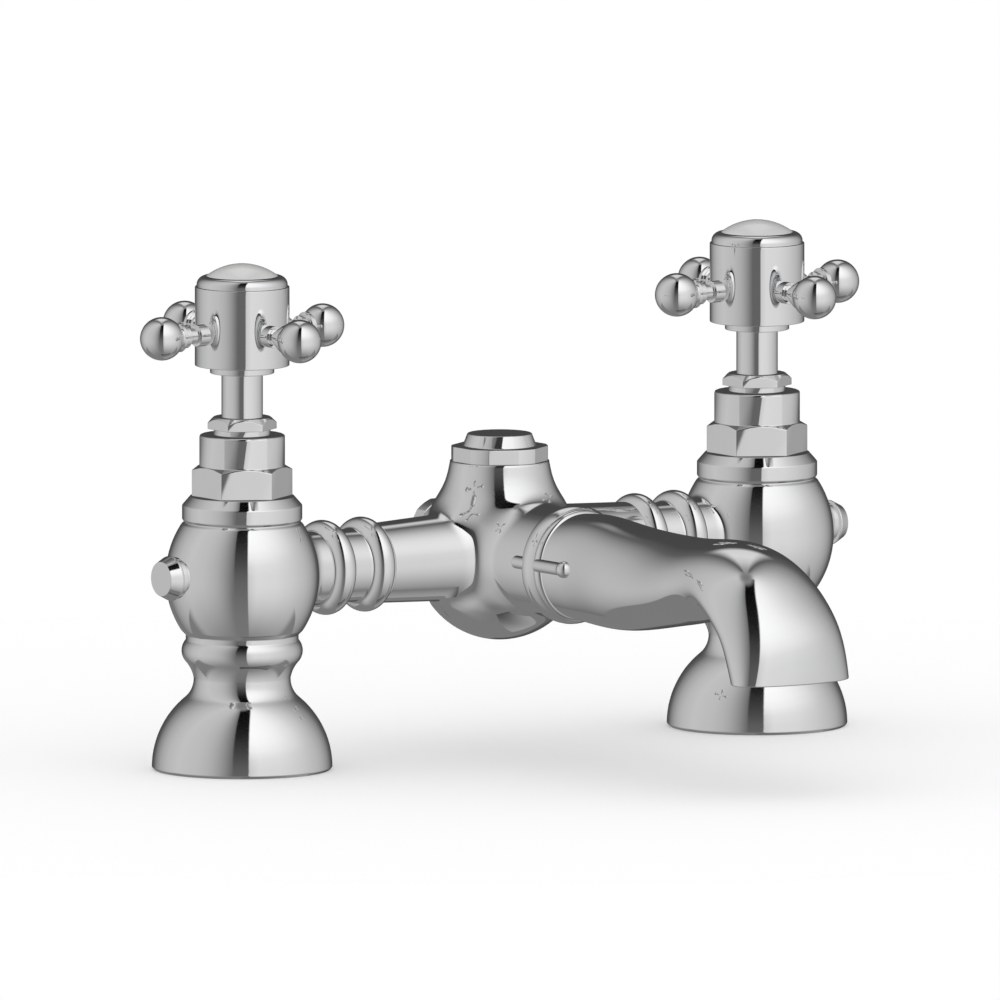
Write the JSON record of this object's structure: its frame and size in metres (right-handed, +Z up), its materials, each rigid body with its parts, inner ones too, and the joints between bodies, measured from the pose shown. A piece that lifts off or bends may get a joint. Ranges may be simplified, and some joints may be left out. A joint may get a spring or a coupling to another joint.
{
  "type": "bath filler tap",
  "caption": "Deck-mounted bath filler: pillar valves with ball-ended cross handles, joined by a bridge tube and round hub that carry a curved spout with a flat oval mouth.",
  "frame": {"origin": "on the deck surface, midway between the two inlets", "axes": "+Z up from the deck, +X from the hot (left) to the cold (right) pillar, the spout points to -Y over the bath"},
  "size_m": [0.2486, 0.1849, 0.1997],
  "materials": {
    "chrome_plate": "polished chrome plate on cast and turned brass",
    "glazed_index": "smooth light grey glaze",
    "brass": "bare turned brass",
    "steel": "zinc-plated",
    "rubber": "matt black",
    "sealing_plastic": "natural white",
    "ceramic": "lapped alumina"
  },
  "bodies": {
    "filler": {"hub_body": "chrome_plate", "hub_plug_seals": "rubber", "hub_rear_plug": "chrome_plate", "hub_top_plug": "chrome_plate", "left_backnut": "brass", "left_blanking_plug": "chrome_plate", "left_deck_gasket": "rubber", "left_fixed_disc": "ceramic", "left_gland_nut": "chrome_plate", "left_gland_packing": "sealing_plastic", "left_headwork_body": "chrome_plate", "left_headwork_gasket": "rubber", "left_inlet_tail": "brass", "left_pillar_body": "chrome_plate", "left_plug_washer": "sealing_plastic", "left_seat_seal": "rubber", "left_thrust_washer": "sealing_plastic", "left_under_deck_washer": "steel", "left_union_collar": "chrome_plate", "right_backnut": "brass", "right_blanking_plug": "chrome_plate", "right_deck_gasket": "rubber", "right_fixed_disc": "ceramic", "right_gland_nut": "chrome_plate", "right_gland_packing": "sealing_plastic", "right_headwork_body": "chrome_plate", "right_headwork_gasket": "rubber", "right_inlet_tail": "brass", "right_pillar_body": "chrome_plate", "right_plug_washer": "sealing_plastic", "right_seat_seal": "rubber", "right_thrust_washer": "sealing_plastic", "right_under_deck_washer": "steel", "right_union_collar": "chrome_plate", "spout": "chrome_plate", "spout_collar": "chrome_plate", "spout_locating_pins": "chrome_plate", "spout_o_ring": "rubber", "union_o_rings": "rubber"},
    "left_handle": {"left_cap_ring": "chrome_plate", "left_handle_arms": "chrome_plate", "left_handle_hub": "chrome_plate", "left_handle_screw": "steel", "left_index_dome": "glazed_index", "left_moving_disc": "ceramic", "left_spindle": "chrome_plate", "left_spindle_o_rings": "rubber"},
    "right_handle": {"right_cap_ring": "chrome_plate", "right_handle_arms": "chrome_plate", "right_handle_hub": "chrome_plate", "right_handle_screw": "steel", "right_index_dome": "glazed_index", "right_moving_disc": "ceramic", "right_spindle": "chrome_plate", "right_spindle_o_rings": "rubber"}
  },
  "joints": [
    {"name": "left_handle_turn", "type": "hinge", "parent": "filler", "child": "left_handle", "pos_m": [-0.09, 0, 0.125], "axis": [0, 0, 1], "range_deg": [0, 90]},
    {"name": "right_handle_turn", "type": "hinge", "parent": "filler", "child": "right_handle", "pos_m": [0.09, 0, 0.125], "axis": [0, 0, 1], "range_deg": [-90, 0]}
  ]
}
